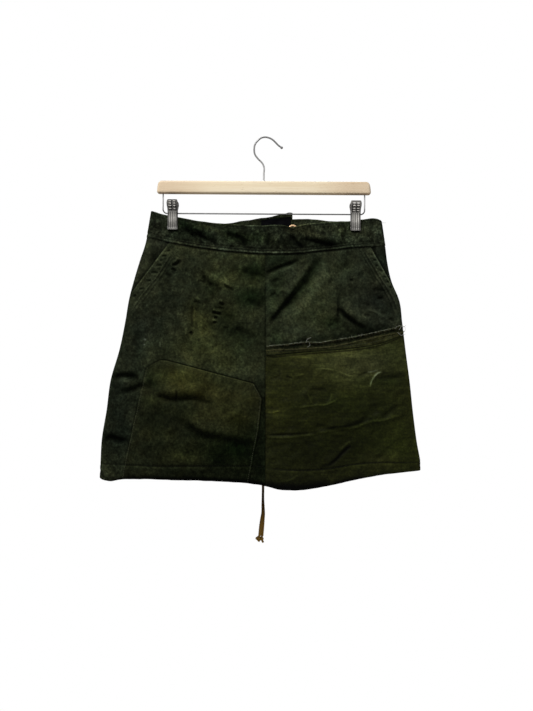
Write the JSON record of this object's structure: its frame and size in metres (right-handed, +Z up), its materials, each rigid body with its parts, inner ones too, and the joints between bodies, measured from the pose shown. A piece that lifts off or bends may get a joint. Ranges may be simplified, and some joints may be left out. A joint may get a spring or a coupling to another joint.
{
  "type": "cargo utility skirt on a clip hanger",
  "caption": "Short A-line cargo skirt with slant pockets, a patch pocket and a raw-edged canvas panel, hung by its waistband from a wooden clip hanger.",
  "frame": {"origin": "inner top of the hanger's hook, where the rail or wall hook carries it", "axes": "+Z up, the skirt's front faces -Y, +X to the right as seen from the front"},
  "size_m": [0.5286, 0.085, 0.6801],
  "materials": {
    "green_twill": "brushed heavy cotton twill, worn and mottled",
    "olive_canvas": "smooth, slightly waxy, creased cotton canvas",
    "frayed_canvas": "pale frayed raw edge",
    "black_label": "blank woven satin label",
    "tan_cord": "thin cotton cord",
    "pale_wood": "clear satin varnish",
    "bright_steel": "plated wire",
    "clip_steel": "plated pressed steel"
  },
  "bodies": {
    "root": {"front_waistband": "green_twill", "back_waistband_left": "green_twill", "back_waistband_right": "green_twill", "front_left": "green_twill", "front_right_upper": "green_twill", "front_right_lower": "olive_canvas", "pocket_facing_left": "green_twill", "pocket_facing_right": "green_twill", "cargo_pocket": "green_twill", "raw_edge_wide": "frayed_canvas", "raw_edge_narrow": "green_twill", "back_left": "green_twill", "back_right": "green_twill", "label": "black_label", "tie_loop": "tan_cord", "tie_cord_left": "tan_cord", "tie_cord_right": "tan_cord", "tie_knot_left": "tan_cord", "tie_knot_right": "tan_cord", "hanger_bar": "pale_wood", "hanger_hook": "bright_steel", "hanger_wire": "bright_steel", "clip_front_left": "clip_steel", "clip_front_right": "clip_steel", "clip_back_left": "clip_steel", "clip_back_right": "clip_steel", "clip_spring_left": "clip_steel", "clip_spring_right": "clip_steel"}
  },
  "joints": []
}
